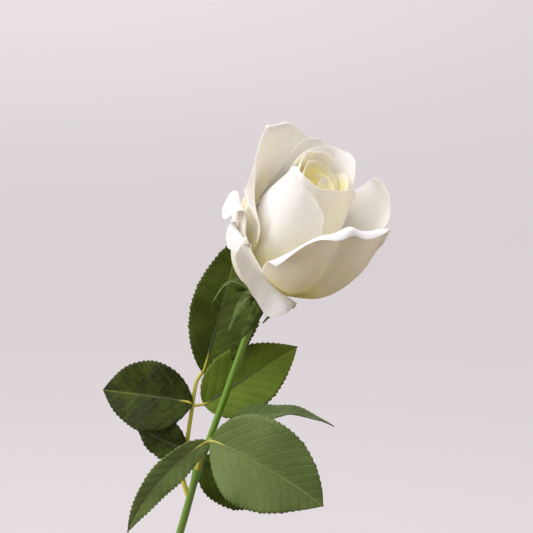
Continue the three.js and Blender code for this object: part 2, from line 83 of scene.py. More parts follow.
# Each petal: azimuth of its middle, (radius, height) of its midrib from foot to rim,
# width, and the radius that it hugs the heart with at foot, middle and rim.
PETAL_THICKNESS = 0.5
PETALS = {
    "heart1": dict(turn=300, profile=[(3, 8), (5, 25), (5, 46), (1, 58)], width=8, hug=(6, 4, 5),
                   foot=0.6, top=0.9, drop=0.1, tip=-0.1),
    "heart2": dict(turn=65, profile=[(4, 6), (7, 25), (7, 42), (3, 57)], width=20, hug=(7, 6, 11),
                   foot=0.5, top=0.85, drop=0.05, lift_right=0.05, tip=0.3),
    "heart3": dict(turn=135, profile=[(4, 5), (8, 24), (7, 42), (8, 60)], width=34, hug=(9, 8, 12),
                   foot=0.45, top=0.9, drop=0.05, lift_left=0.1, lift_right=-0.05, tip=-0.05),
    "inner1": dict(turn=140, profile=[(4, 4), (11, 21), (12, 40), (12, 62)], width=30, hug=(11, 11, 10),
                   foot=0.4, top=0.75, drop=0.05, lift_left=-0.05, tip=-0.1, corner=0.03),
    "inner2": dict(turn=25, profile=[(4, 4), (12, 22), (13, 42), (10, 60)], width=30, hug=(11, 12, 13),
                   foot=0.4, top=0.8, drop=0.1, lift_left=0.05),
    "inner3": dict(turn=270, profile=[(4, 3), (13, 15), (15, 34), (14, 59)], width=40, hug=(12, 14, 17),
                   foot=0.35, top=0.8, drop=0, roll_right=70, roll_share=0.25, lift_left=-0.05,
                   lift_right=-0.1),
    "ring": dict(turn=100, profile=[(4, 3), (13, 16), (15, 36), (14, 57), (16, 65)], width=50,
                 hug=(12, 15, 14), foot=0.35, top=0.8, drop=0.2, tip=-0.3, curl=(15, 30, 15),
                 curl_length=3),
    "front": dict(turn=248, profile=[(4, 1), (16, 10), (22, 29), (22, 48), (21, 61)], width=47,
                  hug=(16, 16, 24), foot=0.35, top=0.7, drop=0.05, lift_left=0.35, lift_right=0.05,
                  tip=-0.3, point=0.03, curl=(0, 12, 12), curl_length=4),
    "back1": dict(turn=125, profile=[(4, 2), (16, 12), (20, 30), (19, 48), (21, 63)], width=35,
                  hug=(16, 20, 24), foot=0.35, top=0.55, drop=0.1, lift_left=-0.05, lift_right=0.05),
    "back2": dict(turn=80, profile=[(4, 2), (16, 12), (18, 28), (18, 42), (18, 53)], width=38,
                  hug=(16, 19, 20), foot=0.35, top=0.75, drop=0.15),
    "tall": dict(turn=155, profile=[(4, 1), (18, 10), (24, 32), (26, 48), (30, 62), (31, 62)],
                 width=72, hug=(20, 22, 36), foot=0.3, top=0.8, drop=0.25, roll_right=50, roll_share=0.3,
                 roll_from=0.25, lift_right=0.05, tip=0.05, corner=0),
    "right": dict(turn=30, profile=[(4, 1), (19, 8), (27, 24), (29, 40), (31, 53), (29, 59)],
                  width=56, hug=(20, 28, 36), foot=0.3, top=0.7, drop=0.2, lift_left=-0.1,
                  lift_right=0.15, tip=0.5),
    "bowl": dict(turn=304, profile=[(4, 0), (17, 7), (29, 18), (34, 36), (33, 61)], width=49,
                 hug=(20, 30, 34), foot=0.4, top=0.85, drop=0.3, lift_right=-0.25, tip=-0.1,
                 curl=(40, 145, 15), curl_length=10, crease=3, crease_width=4, point=0.03, corner=0.1),
    "low": dict(turn=266, profile=[(4, 0), (16, 5), (23, 14), (27, 19), (29, 18), (31, 9)],
                width=32, hug=(20, 28, 36), foot=0.35, top=1, drop=0.15, tilt=-0.5, lift_right=0.15,
                tip=0.4, corner=0),
    "left": dict(turn=213, profile=[(4, 0), (17, 5), (25, 18), (28, 29), (30, 38), (33, 38), (35, 30)],
                 width=22, hug=(20, 28, 30), foot=0.4, top=0.65, drop=0.2, tilt=-0.1),
    "fold": dict(turn=230, profile=[(4, 0), (17, 4), (24, 13), (27, 23), (29, 28), (32, 29), (33, 22)],
                 width=15, hug=(20, 24, 26), foot=0.4, top=0.85, drop=0.1, tilt=-0.1),
    "rear1": dict(turn=100, profile=[(4, 0), (18, 6), (26, 24), (28, 38), (32, 46)], width=54,
                  hug=(20, 30, 40), foot=0.3, top=0.7, drop=0.2, curl=(30, 50, 30)),
    "rear2": dict(turn=48, profile=[(4, 0), (18, 6), (26, 22), (29, 35), (33, 43)], width=50,
                  hug=(20, 30, 40), foot=0.3, top=0.7, drop=0.2, curl=(30, 50, 30)),
}
PETAL_DEFAULTS = dict(
    widest=0.62, point=0, tilt=0, tip=0, crease=0, crease_width=4, curl=(0, 0, 0), curl_length=5, corner=0.06,
    roll_left=0, roll_right=0, roll_share=0.3, roll_from=0.35, lift_left=0, lift_right=0,
)
PETAL_COLUMNS = 30
PETAL_ROWS = 34
PETAL_HALF_STEPS = 60
RIM_NICK = 0.2
RIPPLE = 0.22
# how fast a rim falls away from its tip, and how wide the little point on the tip is
RIM_DROP_POWER = 2.2
RIM_LIFT_POWER = 1.3
RIM_CORNER_POWER = 8
RIM_POINT_WIDTH = 0.16
# how yellow the innermost petals are, and how strong the painted glow (an emission) in the heart is, standing
# in for light that reaches them through the petals around them
HEART_CREAM = 0.95
PAINTED_HEART_GLOW = 0.08

# leaflets: foot and tip of the midrib, width, and how far it arches up and sweeps sideways
BLADE_THICKNESS = 0.45
LEAFLET_DEFAULTS = dict(roll=0, arch=2, sweep=0, widest=0.38, left=1, right=1, phase=0, fold=0.25, wave=0.8,
                        pale=0.3)
LEAFLET_TOOTH = 0.85
LEAFLET_TOOTH_PITCH = 2.1
LEAFLET_COLUMNS = 9
LEAFLET_TIP_POWER = 0.98
LEAFLET_WAVES = 5
VEIN_SLANT = 0.95
VEIN_PITCH = 5.2
PUFF = 0.35
BACK_STALK = [
    (16.6, 1.7, 181), (13.4, 3.6, 192.2), (14.9, 6, 203.5), (16.2, 6, 212.4), (17.8, 6.5, 222.6),
    (18.7, 7.5, 229.5), (20, 9, 235.3), (22.3, 10, 238.8),
]
BACK_LEAFLETS = {
    "end": dict(base=(22.8, 10, 238.8), tip=(39.8, 22, 302), width=32, arch=3, sweep=0.5, left=0.88,
                right=1.15, widest=0.46, pale=0.3, stalk=(22.3, 10, 238.8)),
    "upper_left": dict(base=(18.3, 6, 225.6), tip=(-25, 22, 228.4), width=33, roll=-10, arch=3, sweep=0.5,
                       widest=0.42, phase=1, pale=0, stalk=(18, 6.6, 224)),
    "upper_right": dict(base=(23.3, 8, 224.2), tip=(66.5, 18, 249.8), width=31, roll=10, arch=3, phase=2,
                        pale=1, stalk=(18, 6.6, 224)),
    "lower_left": dict(base=(14.6, 6, 203.5), tip=(-8.5, 14, 212.6), width=16.5, roll=10, arch=1, right=1.5,
                       phase=3, pale=0, stalk=(14.9, 6, 203)),
    "lower_right": dict(base=(20.8, 8, 197.3), tip=(61, 16, 177), width=27, phase=4, pale=0.4,
                        stalk=(14.6, 5.8, 201)),
}
FRONT_STALK = [(21, -7, 198), (22.6, -9.2, 204), (24.6, -11.4, 209), (26.6, -13.4, 212.6)]
FRONT_LEAFLETS = {
    "end": dict(base=(27.4, -14, 213.1), tip=(77, -26, 186.5), width=41, arch=4, sweep=-3, left=1.05,
                widest=0.42, phase=1, stalk=(26.2, -13.2, 212.2)),
    "left": dict(base=(25.6, -13, 212.4), tip=(-10, -16, 171.5), width=14, roll=10, sweep=5, phase=2,
                 stalk=(26.2, -13.2, 212.2)),
    "right": dict(base=(32.3, -12, 216.7), tip=(83, 2, 215.5), width=18, roll=84, pale=0, arch=7, phase=3,
                  stalk=(26.2, -13.2, 212.2)),
}
SEPAL_THICKNESS = 0.5
STALK_RADIUS = 0.95
RIB_RADIUS = 0.6
RIB_STALK_SHARE = (0.08, 0.2)

SEPALS = {
    "a": dict(path=[(50, -24.4, 277.2), (42, -23.3, 283.6), (34.6, -22, 284.4), (28.1, -22, 274.9)], width=9),
    "b": dict(path=[(50, -25, 277.2), (45.1, -28.8, 279.2), (40.7, -27.5, 275), (35.9, -24.5, 264.2)],
              width=8),
    "c": dict(path=[(50.8, -25.5, 277.6), (48.6, -29.6, 274.6), (46, -28, 268.4), (41, -24.5, 260.5)],
              width=7.5),
    "d": dict(path=[(52.6, -22, 278.6), (57.2, -18, 276), (55.6, -15, 271.6), (50.5, -13, 265.6)], width=4.5),
    "e": dict(path=[(50.6, -20, 279), (49.4, -12.4, 277), (46.2, -9.4, 270.2), (43.6, -8.6, 262.6)],
              width=5.5),
}

# ---------------------------------------------------------------- camera, from the photograph

PHOTO_SIZE_PX = 533
PX_PER_MM = 2.32
BLOOM_FOOT_PX = (268, 285)
CAMERA_ELEVATION = 6.0
CAMERA_LENS = 85.0
CAMERA_SENSOR = 36.0

# ---------------------------------------------------------------- curves


def smoothstep(x, low, high):
    t = np.clip((x - low) / (high - low), 0, 1)
    return t * t * (3 - 2 * t)


def spline(points, t):
    """Uniform Catmull-Rom curve through the points, at each t in 0..1."""
    p = np.asarray(points, float)
    last = len(p) - 1
    p = np.vstack([2 * p[0] - p[1], p, 2 * p[-1] - p[-2]])
    x = np.clip(np.asarray(t, float), 0, 1) * last
    i = np.minimum(x.astype(int), last - 1)
    f = (x - i)[..., None]
    a, b, c, d = p[i], p[i + 1], p[i + 2], p[i + 3]
    return 0.5 * (2 * b + (c - a) * f + (2 * a - 5 * b + 4 * c - d) * f**2 + (3 * b - a - 3 * c + d) * f**3)


def measured(points):
    """The length of the curve, and a function from a share of it to point and direction."""
    path = spline(points, np.linspace(0, 1, 161))
    reach = np.concatenate([[0], np.cumsum(np.linalg.norm(np.diff(path, axis=0), axis=1))])
    ways = np.gradient(path, axis=0)

    def at(share):
        s = np.clip(share, 0, 1) * reach[-1]
        point = np.stack([np.interp(s, reach, path[:, k]) for k in range(path.shape[1])], -1)
        way = np.stack([np.interp(s, reach, ways[:, k]) for k in range(path.shape[1])], -1)
        return point, way / np.linalg.norm(way, axis=-1)[..., None]

    return reach[-1], at


def unit(v):
    return v / np.linalg.norm(v)


# ---------------------------------------------------------------- meshes


def add_object(name, vertices_mm, faces, material, node, uv=None, values=None):
    mesh = bpy.data.meshes.new(name)
    mesh.from_pydata((np.asarray(vertices_mm) * MM).tolist(), [], faces)
    mesh.update()
    mesh.polygons.foreach_set("use_smooth", [True] * len(mesh.polygons))
    if uv is not None:
        layer = mesh.uv_layers.new(name="lay")
        loops = np.zeros(len(mesh.loops), int)
        mesh.loops.foreach_get("vertex_index", loops)
        layer.data.foreach_set("uv", uv[loops].astype(float).ravel())
    for key, per_vertex in (values or {}).items():
        attribute = mesh.attributes.new(key, "FLOAT", "POINT")
        attribute.data.foreach_set("value", np.asarray(per_vertex, float).ravel())
    mesh.materials.append(material)
    obj = bpy.data.objects.new(name, mesh)
    bpy.context.scene.collection.objects.link(obj)
    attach(obj, "root")
    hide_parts(node)
    return obj


def grid_faces(rows, columns, closed=False):
    faces = []
    for j in range(rows - 1):
        for i in range(columns if closed else columns - 1):
            k = (i + 1) % columns
            faces.append((j * columns + i, j * columns + k, (j + 1) * columns + k, (j + 1) * columns + i))
    return faces


def add_sheet(name, grid, thickness, material, node, uv, values=None, levels=1):
    rows, columns, _ = grid.shape
    obj = add_object(name, grid.reshape(-1, 3), grid_faces(rows, columns), material, node,
                     uv.reshape(-1, 2), {k: v.reshape(-1) for k, v in (values or {}).items()})
    if levels:
        smooth = obj.modifiers.new("smooth", "SUBSURF")
        smooth.levels = smooth.render_levels = levels
    if "thin" in (values or {}):
        group = obj.vertex_groups.new(name="thin")
        for index, share in enumerate(values["thin"].reshape(-1)):
            group.add([index], float(share), "REPLACE")
    thick = obj.modifiers.new("thick", "SOLIDIFY")
    thick.thickness = thickness * MM
    thick.offset = 0
    if "thin" in (values or {}):
        thick.vertex_group = "thin"
    return obj


def ring_mesh(rings):
    """Vertices and faces of a stack of closed rings, each (points, 3), with caps at both ends."""
    rows, sides, _ = rings.shape
    faces = grid_faces(rows, sides, closed=True)
    vertices = np.vstack([rings.reshape(-1, 3), rings[0].mean(0), rings[-1].mean(0)])
    foot, head = rows * sides, rows * sides + 1
    last_row = (rows - 1) * sides
    faces += [(foot, (i + 1) % sides, i) for i in range(sides)]
    faces += [(head, last_row + i, last_row + (i + 1) % sides) for i in range(sides)]
    return vertices, faces


def rod_rings(path, radius_at, sides, rows):
    _, at = measured(path)
    shares = np.linspace(0, 1, rows)
    points, ways = at(shares)
    side = np.array([1.0, 0, 0])
    angles = np.linspace(0, 2 * math.pi, sides, endpoint=False)
    rings = []
    for share, point, way in zip(shares, points, ways):
        side = unit(side - way * (side @ way))
        other = np.cross(way, side)
        radius = radius_at(share, point)
        rings.append(point + radius * (np.cos(angles)[:, None] * side + np.sin(angles)[:, None] * other))
    return np.array(rings)


def add_rod(name, path, radius_at, material, node, sides=16, rows=40):
    rings = rod_rings(path, radius_at, sides, rows)
    vertices, faces = ring_mesh(rings)
    lay = np.zeros((len(vertices), 2))
    lay[: rows * sides, 0] = np.tile(np.arange(sides) / sides, rows)
    lay[: rows * sides, 1] = np.repeat(np.linspace(0, 1, rows), sides)
    lay[-1, 1] = 1
    return add_object(name, vertices, faces, material, node, lay)


def turned_rings(profile, sides):
    angles = np.linspace(0, 2 * math.pi, sides, endpoint=False)
    return np.array([[(r * math.cos(a), r * math.sin(a), z) for a in angles] for r, z in profile])


def rounded(profile, between=6):
    """A smooth profile through all but the first and last points, which only mark the axis."""
    inner = np.asarray(profile[1:-1], float)
    count = (len(inner) - 1) * between + 1
    return spline(inner, np.linspace(0, 1, count))


# ---------------------------------------------------------------- petals


def petal_grid(shape, columns=PETAL_COLUMNS, rows=PETAL_ROWS, seed=0.0):
    """Points (rows, columns, 3) on a petal's middle surface in the bloom's frame, with u and v."""
    p = {**PETAL_DEFAULTS, **shape}
    length, midrib = measured(p["profile"])
    u = np.linspace(-1, 1, columns)
    v = 1 - (1 - np.linspace(0, 1, rows)) ** 1.4
    U, Vv = np.meshgrid(u, v)
    left = U < p["tip"]
    side = np.where(left, (p["tip"] - U) / (1 + p["tip"]), (U - p["tip"]) / (1 - p["tip"]))
    lift = np.where(left, p["lift_left"], p["lift_right"])
    cut = p["drop"] * side**RIM_DROP_POWER + lift * side**RIM_LIFT_POWER
    cut = cut - p["point"] * np.exp(-(((U - p["tip"]) / RIM_POINT_WIDTH) ** 2))
    cut = cut + p["corner"] * U**RIM_CORNER_POWER
    nick = RIM_NICK * (np.sin(11 * U + 5 * seed) + 0.6 * np.sin(23 * U + 9 * seed)
                       + 0.35 * np.sin(41 * U + seed))
    reached = Vv - cut * Vv**3 + nick / length * Vv**12

    rise = p["foot"] + (1 - p["foot"]) * np.sin(np.minimum(v / p["widest"], 1) * math.pi / 2)
    fall = 1 - (1 - p["top"]) * smoothstep(v, p["widest"], 1)
    half = p["width"] / 2 * np.where(v < p["widest"], rise, fall)
    bend = spline([[1 / r] for r in p["hug"]], v)[:, 0]
    rolled = smoothstep(v, p["roll_from"], p["roll_from"] + 0.3)

    t = np.linspace(0, 1, PETAL_HALF_STEPS + 1)

    def summed(parts):
        return np.concatenate([np.zeros((rows, 1)), np.cumsum(parts, 1)], 1)

    def section(roll):
        """Half of each cross-section, from the midrib out to the side edge."""
        share = p["roll_share"]
        amount = math.radians(roll) * rolled[:, None] * np.maximum(t - (1 - share), 0)[None] * 2 / share**2
        rate = bend[:, None] - amount / half[:, None]
        step = half[:, None] / PETAL_HALF_STEPS
        angle = summed(step * (rate[:, 1:] + rate[:, :-1]) / 2)
        middle = (angle[:, 1:] + angle[:, :-1]) / 2
        return summed(step * np.cos(middle)), summed(step * np.sin(middle)), angle

    def both_halves(hand, left_half, right_half):
        return np.array([np.where(u < 0, hand * np.interp(-u, t, on_left), np.interp(u, t, on_right))
                         for on_left, on_right in zip(left_half, right_half)])

    # x and the angle change sign on the left half
    halves = zip((-1, 1, -1), section(p["roll_left"]), section(p["roll_right"]))
    X, Y, A = (both_halves(*half_pair) for half_pair in halves)

    # the last few millimetres below the rim curl outwards
    curl = np.radians(spline([[c] for c in p["curl"]], (U + 1) / 2)[..., 0])
    rim = reached[-1:]
    start = np.maximum(rim - p["curl_length"] / length, 0.3)
    rate = np.where(np.abs(curl) < 1e-3, 1e-3, curl) / ((rim - start) * length)
    past = np.maximum(reached - start, 0) * length
    curls = (np.abs(curl) > 1e-3) & (past > 0)
    onward = np.where(curls, np.sin(rate * past) / rate, 0)
    outward = np.where(curls, (1 - np.cos(rate * past)) / rate, 0)
    X = X + outward * np.sin(A)
    Y = Y - outward * np.cos(A)
    reached = np.where(curls, start, reached)
    Y = Y + p["crease"] * np.exp(-((X / p["crease_width"]) ** 2)) * smoothstep(Vv, 0.05, 0.3)
    Y = Y + RIPPLE * Vv**3 * (np.sin(5 * U + 7 * Vv + 3 * seed) + 0.5 * np.sin(13 * U - 4 * Vv + seed))
    onward = onward + np.maximum(reached - 1, 0) * length

    point, way = midrib(reached)
    azimuth = math.radians(p["turn"])
    outwards = np.array([math.cos(azimuth), math.sin(azimuth), 0])
    sideways = np.array([-math.sin(azimuth), math.cos(azimuth), 0])
    r = point[..., 0] + onward * way[..., 0] - Y * way[..., 1]
    z = point[..., 1] + onward * way[..., 1] + Y * way[..., 0] + p["tilt"] * X * smoothstep(Vv, 0.2, 0.6)
    grid = r[..., None] * outwards + X[..., None] * sideways + z[..., None] * np.array([0, 0, 1.0])
    return grid, U, Vv


bloom_back = np.cross(unit(BLOOM_AXIS), BLOOM_RIGHT)
BLOOM_BASIS = np.stack([BLOOM_RIGHT, bloom_back, unit(BLOOM_AXIS)])


def in_bloom(points):
    return points @ BLOOM_BASIS + BLOOM_FOOT


# ---------------------------------------------------------------- leaves


def leaflet_grid(shape):
    """Points on a leaflet's middle surface, its vein coordinates, and its midrib as a function."""
    p = {**LEAFLET_DEFAULTS, **shape}
    base, tip = np.array(p["base"], float), np.array(p["tip"], float)
    chord = tip - base
    length = np.linalg.norm(chord)
    along = chord / length
    facing = unit(np.array([0, -1.0, 0]) + along * along[1])
    across = np.cross(along, facing)
    turn = math.radians(p["roll"])
    side = across * math.cos(turn) + facing * math.sin(turn)
    upper = facing * math.cos(turn) - across * math.sin(turn)

    def midrib(t):
        bow = (4 * t * (1 - t))[..., None]
        return base + chord * t[..., None] + upper * p["arch"] * bow + side * p["sweep"] * bow

    foot_power = LEAFLET_TIP_POWER * p["widest"] / (1 - p["widest"])
    teeth = int(length / LEAFLET_TOOTH_PITCH)
    rows = teeth * 4 + 1
    t = np.linspace(0, 1, rows)
    outline = (np.maximum(t, 1e-4) / p["widest"]) ** foot_power * (
        np.maximum(1 - t, 1e-4) / (1 - p["widest"])) ** LEAFLET_TIP_POWER
    way = midrib(np.minimum(t + 0.02, 1)) - midrib(np.maximum(t - 0.02, 0))
    way /= np.linalg.norm(way, axis=1)[:, None]
    sides = side - way * (way @ side)[:, None]
    sides /= np.linalg.norm(sides, axis=1)[:, None]
    ups = np.cross(sides, way)
    ups *= np.sign(ups @ upper)[:, None]

    w = np.linspace(-1, 1, 2 * LEAFLET_COLUMNS + 1)
    saw = (t * teeth) % 1.0
    reach = p["width"] / 2 * outline[:, None] * np.where(w < 0, p["left"], p["right"])[None]
    toothed = LEAFLET_TOOTH * (saw - 0.5) * smoothstep(outline, 0.15, 0.5)
    margin = smoothstep(np.abs(w), 0.86, 1.0)
    size = np.maximum(reach + toothed[:, None] * margin[None], 0.4)
    X = w[None] * size
    T = t[:, None] + 0 * X
    O = outline[:, None]
    ripple = p["wave"] * np.abs(w)[None] ** 1.5 * O * np.sin(
        LEAFLET_WAVES * math.pi * T + p["phase"] + np.where(w > 0, 2, 0)[None])
    # the blade puffs up between its side veins
    lane = (T * length - VEIN_SLANT * np.abs(X)) / VEIN_PITCH + np.where(w > 0, 0.4, 0)[None]
    puff = PUFF * np.abs(np.sin(math.pi * lane)) * smoothstep(np.abs(w), 0.02, 0.3)[None] * O * (
        1 - smoothstep(np.abs(w), 0.7, 1.0))[None]
    Z = p["fold"] * np.abs(X) + ripple + puff
    mid = midrib(t)
    grid = mid[:, None] + sides[:, None] * X[..., None] + ups[:, None] * Z[..., None]
    lay = np.stack([X / VEIN_PITCH, T * length / VEIN_PITCH], -1)
    return grid, lay, midrib


# ---------------------------------------------------------------- materials


class Shader:
    """A material and short ways to add nodes to it."""

    def __init__(self, name, colour, roughness=0.5, **sockets):
        self.material = bpy.data.materials.new(name)
        self.material.use_nodes = True
        self.material.diffuse_color = (*colour, 1)
        self.tree = self.material.node_tree
        self.bsdf = self.tree.nodes["Principled BSDF"]
        self.out = self.tree.nodes["Material Output"]
        self.set("Base Color", (*colour, 1))
        self.set("Roughness", roughness)
        for key, value in sockets.items():
            self.set(key.replace("_", " "), value)

    def set(self, socket, value):
        if isinstance(value, bpy.types.NodeSocket):
            self.tree.links.new(value, self.bsdf.inputs[socket])
        else:
            self.bsdf.inputs[socket].default_value = value

    def node(self, kind, inputs=None, **settings):
        made = self.tree.nodes.new(kind)
        for key, value in settings.items():
            setattr(made, key, value)
        for key, value in (inputs or {}).items():
            if isinstance(value, bpy.types.NodeSocket):
                self.tree.links.new(value, made.inputs[key])
            else:
                made.inputs[key].default_value = value
        return made

    def math(self, operation, a, b=0.0, c=0.0):
        return self.node("ShaderNodeMath", {0: a, 1: b, 2: c}, operation=operation).outputs[0]

    def ramp(self, value, low, high, to_low=0.0, to_high=1.0):
        made = self.node("ShaderNodeMapRange", {0: value, 1: low, 2: high, 3: to_low, 4: to_high})
        made.interpolation_type = "SMOOTHSTEP"
        return made.outputs[0]

    def mix(self, factor, a, b):
        made = self.node("ShaderNodeMix", data_type="RGBA")
        for socket, value in ((made.inputs[0], factor), (made.inputs[6], a), (made.inputs[7], b)):
            if isinstance(value, bpy.types.NodeSocket):
                self.tree.links.new(value, socket)
            else:
                socket.default_value = value if isinstance(value, (int, float)) else (*value[:3], 1)
        return made.outputs[2]

    def place(self):
        return self.node("ShaderNodeTexCoord").outputs["Object"]

    def lay(self):
        return self.node("ShaderNodeUVMap", uv_map="lay").outputs["UV"]

    def value(self, name):
        return self.node("ShaderNodeAttribute", attribute_name=name).outputs["Fac"]

    def noise(self, vector, scale, detail=2.0, roughness=0.5):
        return self.node("ShaderNodeTexNoise", {"Vector": vector, "Scale": scale, "Detail": detail,
                                                "Roughness": roughness}).outputs["Fac"]

    def stretch(self, vector, scale):
        return self.node("ShaderNodeMapping", {"Vector": vector, "Scale": scale}).outputs[0]

    def split(self, vector):
        return self.node("ShaderNodeSeparateXYZ", {0: vector}).outputs

    def bump(self, height, distance, strength=1.0, normal=None):
        inputs = {"Height": height, "Distance": distance * MM, "Strength": strength}
        if normal is not None:
            inputs["Normal"] = normal
        return self.node("ShaderNodeBump", inputs).outputs[0]


def srgb(*channels):
    """Linear light from a colour's values of 0 to 255."""
    shares = [channel / 255 for channel in channels]
    return tuple(c / 12.92 if c <= 0.04045 else ((c + 0.055) / 1.055) ** 2.4 for c in shares)


def petal_material():
    s = Shader("petal", srgb(244, 238, 226), 0.55)
    lay, place = s.lay(), s.place()
    cream = s.value("cream")
    streaks = s.noise(s.stretch(lay, (26, 1.1, 1)), 1.0, 4.0, 0.6)
    fine = s.noise(s.stretch(lay, (90, 3, 1)), 1.0, 2.0)
    cloud = s.noise(place, 60, 3.0)
    warm = s.math("ADD", cream, s.ramp(cloud, 0.35, 0.65, -0.08, 0.08))
    body = s.mix(s.ramp(warm, 0, 0.5), srgb(250, 248, 244), srgb(251, 245, 230))
    body = s.mix(s.ramp(warm, 0.5, 1.0), body, srgb(249, 239, 168))
    vein = s.ramp(streaks, 0.5, 0.72)
    body = s.mix(s.math("MULTIPLY", vein, 0.22), body, srgb(226, 214, 190))
    s.set("Base Color", body)
    # painted light: the heart petals glow from an emission, in place of light that comes to them through the
    # petals around them
    s.set("Emission Color", (*srgb(255, 246, 200), 1))
    s.set("Emission Strength", s.value("painted_glow"))
    s.set("Subsurface Weight", 0.65)
    s.set("Subsurface Radius", (1.0, 0.82, 0.55))
    s.set("Subsurface Scale", 0.002)
    s.set("Specular IOR Level", 0.3)
    s.set("Sheen Weight", 0.15)
    s.set("Sheen Roughness", 0.5)
    grain = s.noise(place, 1400, 2.0)
    normal = s.bump(streaks, 0.22, 0.8)
    normal = s.bump(fine, 0.05, 0.6, normal)
    normal = s.bump(grain, 0.02, 0.6, normal)
    s.set("Normal", normal)
    return s.material


def leaf_material(name, dark, light, rib, sheen, shine):
    s = Shader(name, light, 0.5)
    lay, place = s.lay(), s.place()
    x, y, _ = s.split(lay)
    side = s.math("ABSOLUTE", x)
    lane = s.math("SUBTRACT", y, s.math("MULTIPLY", side, VEIN_SLANT))
    lane = s.math("ADD", lane, s.math("MULTIPLY", s.math("GREATER_THAN", x, 0.0), 0.4))
    wander = s.math("MULTIPLY", s.math("SUBTRACT", s.noise(place, 160, 2.0), 0.5), 0.16)
    off_vein = s.math("PINGPONG", s.math("ADD", lane, wander), 0.5)
    side_vein = s.ramp(off_vein, 0.015, 0.07, 1.0, 0.0)
    midrib = s.ramp(side, 0.03, 0.13, 1.0, 0.0)
    net = s.node("ShaderNodeTexVoronoi", {"Vector": place, "Scale": 620.0},
                 feature="DISTANCE_TO_EDGE").outputs["Distance"]
    net_line = s.ramp(net, 0.02, 0.12, 1.0, 0.0)
    mottle = s.noise(place, 95, 4.0, 0.6)
    blotch = s.noise(place, 28, 2.0)
    pale = s.math("MULTIPLY_ADD", s.value("pale"), 0.7, s.ramp(mottle, 0.35, 0.7, 0.0, 0.2))
    body = s.mix(s.math("ADD", pale, s.ramp(blotch, 0.4, 0.7, -0.06, 0.1)), dark, light)
    body = s.mix(s.math("MULTIPLY", net_line, 0.12), body, rib)
    body = s.mix(s.math("MULTIPLY", side_vein, 0.2), body, rib)
    body = s.mix(s.math("MULTIPLY", midrib, 0.45), body, rib)
    s.set("Base Color", body)
    s.set("Roughness", s.ramp(mottle, 0.3, 0.7, 0.42, 0.58))
    s.set("Specular IOR Level", shine)
    s.set("Sheen Weight", sheen)
    s.set("Sheen Roughness", 0.4)
    s.set("Subsurface Weight", 0.12)
    s.set("Subsurface Radius", (0.6, 1.0, 0.2))
    s.set("Subsurface Scale", 0.001)
    normal = s.bump(s.math("ADD", side_vein, midrib), -0.18, 0.8)
    normal = s.bump(net_line, -0.05, 0.7, normal)
    normal = s.bump(s.noise(place, 2200, 3.0), 0.04, 0.7, normal)
    s.set("Normal", normal)
    return s.material


def stalk_material(name, low, high, blush, change=(0.1, 0.9)):
    s = Shader(name, low, 0.42)
    place = s.place()
    along = s.split(s.lay())[1]
    mottle = s.noise(s.stretch(place, (1, 1, 0.25)), 260, 3.0)
    body = s.mix(s.ramp(along, *change), low, high)
    body = s.mix(s.ramp(mottle, 0.5, 0.75, 0.0, 0.35), body, blush)
    s.set("Base Color", body)
    s.set("Specular IOR Level", 0.5)
    s.set("Subsurface Weight", 0.15)
    s.set("Subsurface Radius", (0.7, 1.0, 0.3))
    s.set("Subsurface Scale", 0.001)
    normal = s.bump(s.noise(s.stretch(place, (1, 1, 0.12)), 900, 3.0), 0.08, 0.7)
    s.set("Normal", s.bump(s.noise(place, 2400, 2.0), 0.02, 0.5, normal))
    return s.material


def sepal_material():
    s = Shader("sepal", srgb(120, 140, 76), 0.6)
    lay, place = s.lay(), s.place()
    x, y, _ = s.split(lay)
    rib = s.ramp(s.math("ABSOLUTE", x), 0.0, 0.14, 1.0, 0.0)
    mottle = s.noise(place, 240, 3.0)
    body = s.mix(s.ramp(mottle, 0.3, 0.7), srgb(50, 68, 18), srgb(92, 114, 44))
    body = s.mix(s.math("MULTIPLY", rib, 0.4), body, srgb(150, 166, 104))
    s.set("Base Color", body)
    s.set("Sheen Weight", 0.05)
    s.set("Specular IOR Level", 0.2)
    streaks = s.noise(s.stretch(lay, (14, 1.2, 1)), 1.0, 3.0)
    s.set("Normal", s.bump(streaks, 0.12, 0.7))
    return s.material


def vase_material():
    s = Shader("vase_glaze", srgb(222, 218, 214), 0.3)
    place = s.place()
    height = s.split(place)[2]
    foot = s.ramp(s.math("ADD", height, s.math("MULTIPLY", s.noise(place, 240, 2.0), 0.0009)),
                  FOOT_RING_HEIGHT * MM, (FOOT_RING_HEIGHT + 0.9) * MM, 1.0, 0.0)
    cloud = s.noise(place, 34, 4.0, 0.55)
    glaze = s.mix(s.ramp(cloud, 0.35, 0.7), srgb(226, 222, 218), srgb(214, 209, 205))
    speck = s.ramp(s.noise(place, 900, 1.0), 0.73, 0.78)
    glaze = s.mix(s.math("MULTIPLY", speck, 0.35), glaze, srgb(176, 166, 156))
    clay = s.mix(s.noise(place, 700, 3.0), srgb(206, 196, 182), srgb(188, 176, 160))
    s.set("Base Color", s.mix(foot, glaze, clay))
    s.set("Roughness", s.math("ADD", s.ramp(cloud, 0.3, 0.7, 0.24, 0.34), s.math("MULTIPLY", foot, 0.45)))
    s.set("Coat Weight", 0.25)
    s.set("Coat Roughness", 0.12)
    turning = s.noise(s.stretch(place, (0.02, 0.02, 1)), 420, 2.0)
    normal = s.bump(turning, 0.05, 0.5)
    normal = s.bump(s.noise(place, 130, 3.0), 0.12, 0.4, normal)
    s.set("Normal", normal)
    return s.material


def water_material():
    s = Shader("water_clear", (0.93, 0.97, 0.97), 0.02, Transmission_Weight=1.0, IOR=1.333)
    s.set("Normal", s.bump(s.noise(s.place(), 60, 2.0), 0.02, 0.4))
    return s.material


